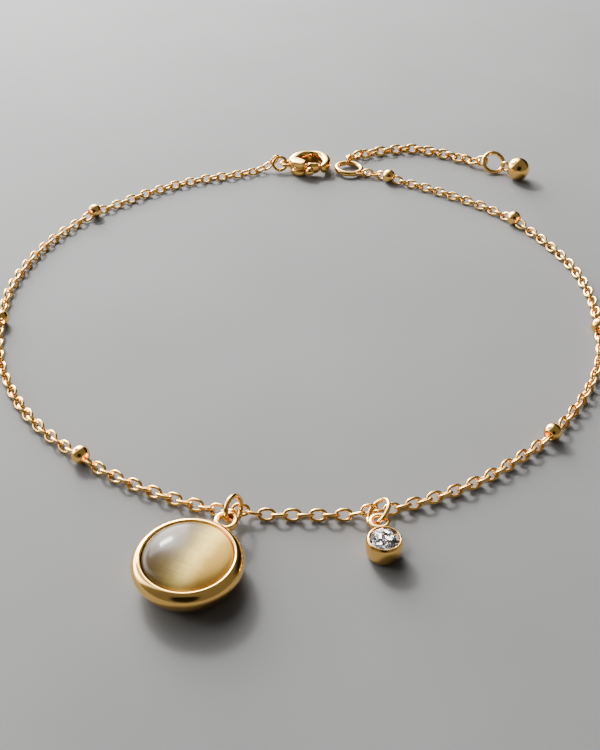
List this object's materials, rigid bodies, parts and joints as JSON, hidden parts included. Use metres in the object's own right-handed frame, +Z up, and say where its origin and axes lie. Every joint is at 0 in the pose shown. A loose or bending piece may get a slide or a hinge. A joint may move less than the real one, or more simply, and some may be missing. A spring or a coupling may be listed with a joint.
{
  "type": "charm anklet",
  "caption": "Fine cable-chain anklet with satellite beads, a bezel-set round cabochon pendant, a small bezel-set clear stone, a lobster clasp and a short extender with a ball end.",
  "frame": {"origin": "centre of the anklet's box, on the surface it lies on", "axes": "+Z up from the surface, +Y from the pendant to the clasp, +X towards the extender's free end"},
  "size_m": [0.0733, 0.0926, 0.0039],
  "materials": {
    "polished_gold": "polished gold plate",
    "chain_gold": "bright gold-plated cable links",
    "cats_eye": "polished cat's-eye cabochon",
    "clear_stone": "faceted brilliant"
  },
  "bodies": {
    "anklet": {"chain_1": "chain_gold", "chain_2": "chain_gold", "chain_3": "chain_gold", "chain_4": "chain_gold", "chain_5": "chain_gold", "chain_6": "chain_gold", "chain_7": "chain_gold", "chain_8": "chain_gold", "chain_9": "chain_gold", "chain_10": "chain_gold", "bead_1": "polished_gold", "bead_2": "polished_gold", "bead_3": "polished_gold", "bead_4": "polished_gold", "bead_5": "polished_gold", "bead_6": "polished_gold", "bead_7": "polished_gold", "clasp_jump_ring": "polished_gold", "pendant_jump_ring": "polished_gold", "charm_jump_ring": "polished_gold", "end_ring": "polished_gold", "pendant_bezel": "polished_gold", "pendant_stone": "cats_eye", "charm_bezel": "polished_gold", "charm_stone": "clear_stone", "clasp_body": "polished_gold", "clasp_pin": "polished_gold", "extender_chain": "chain_gold", "extender_end_ring": "polished_gold", "end_drop": "polished_gold"},
    "lever": {"clasp_lever": "polished_gold"}
  },
  "joints": [
    {"name": "clasp_lever_hinge", "type": "hinge", "parent": "anklet", "child": "lever", "pos_m": [0.00003, 0.0381, 0.00117], "axis": [0, 0, 1], "range_deg": [0, 26], "stiffness_Nm_per_rad": 0.003, "springref_deg": -8.59}
  ]
}
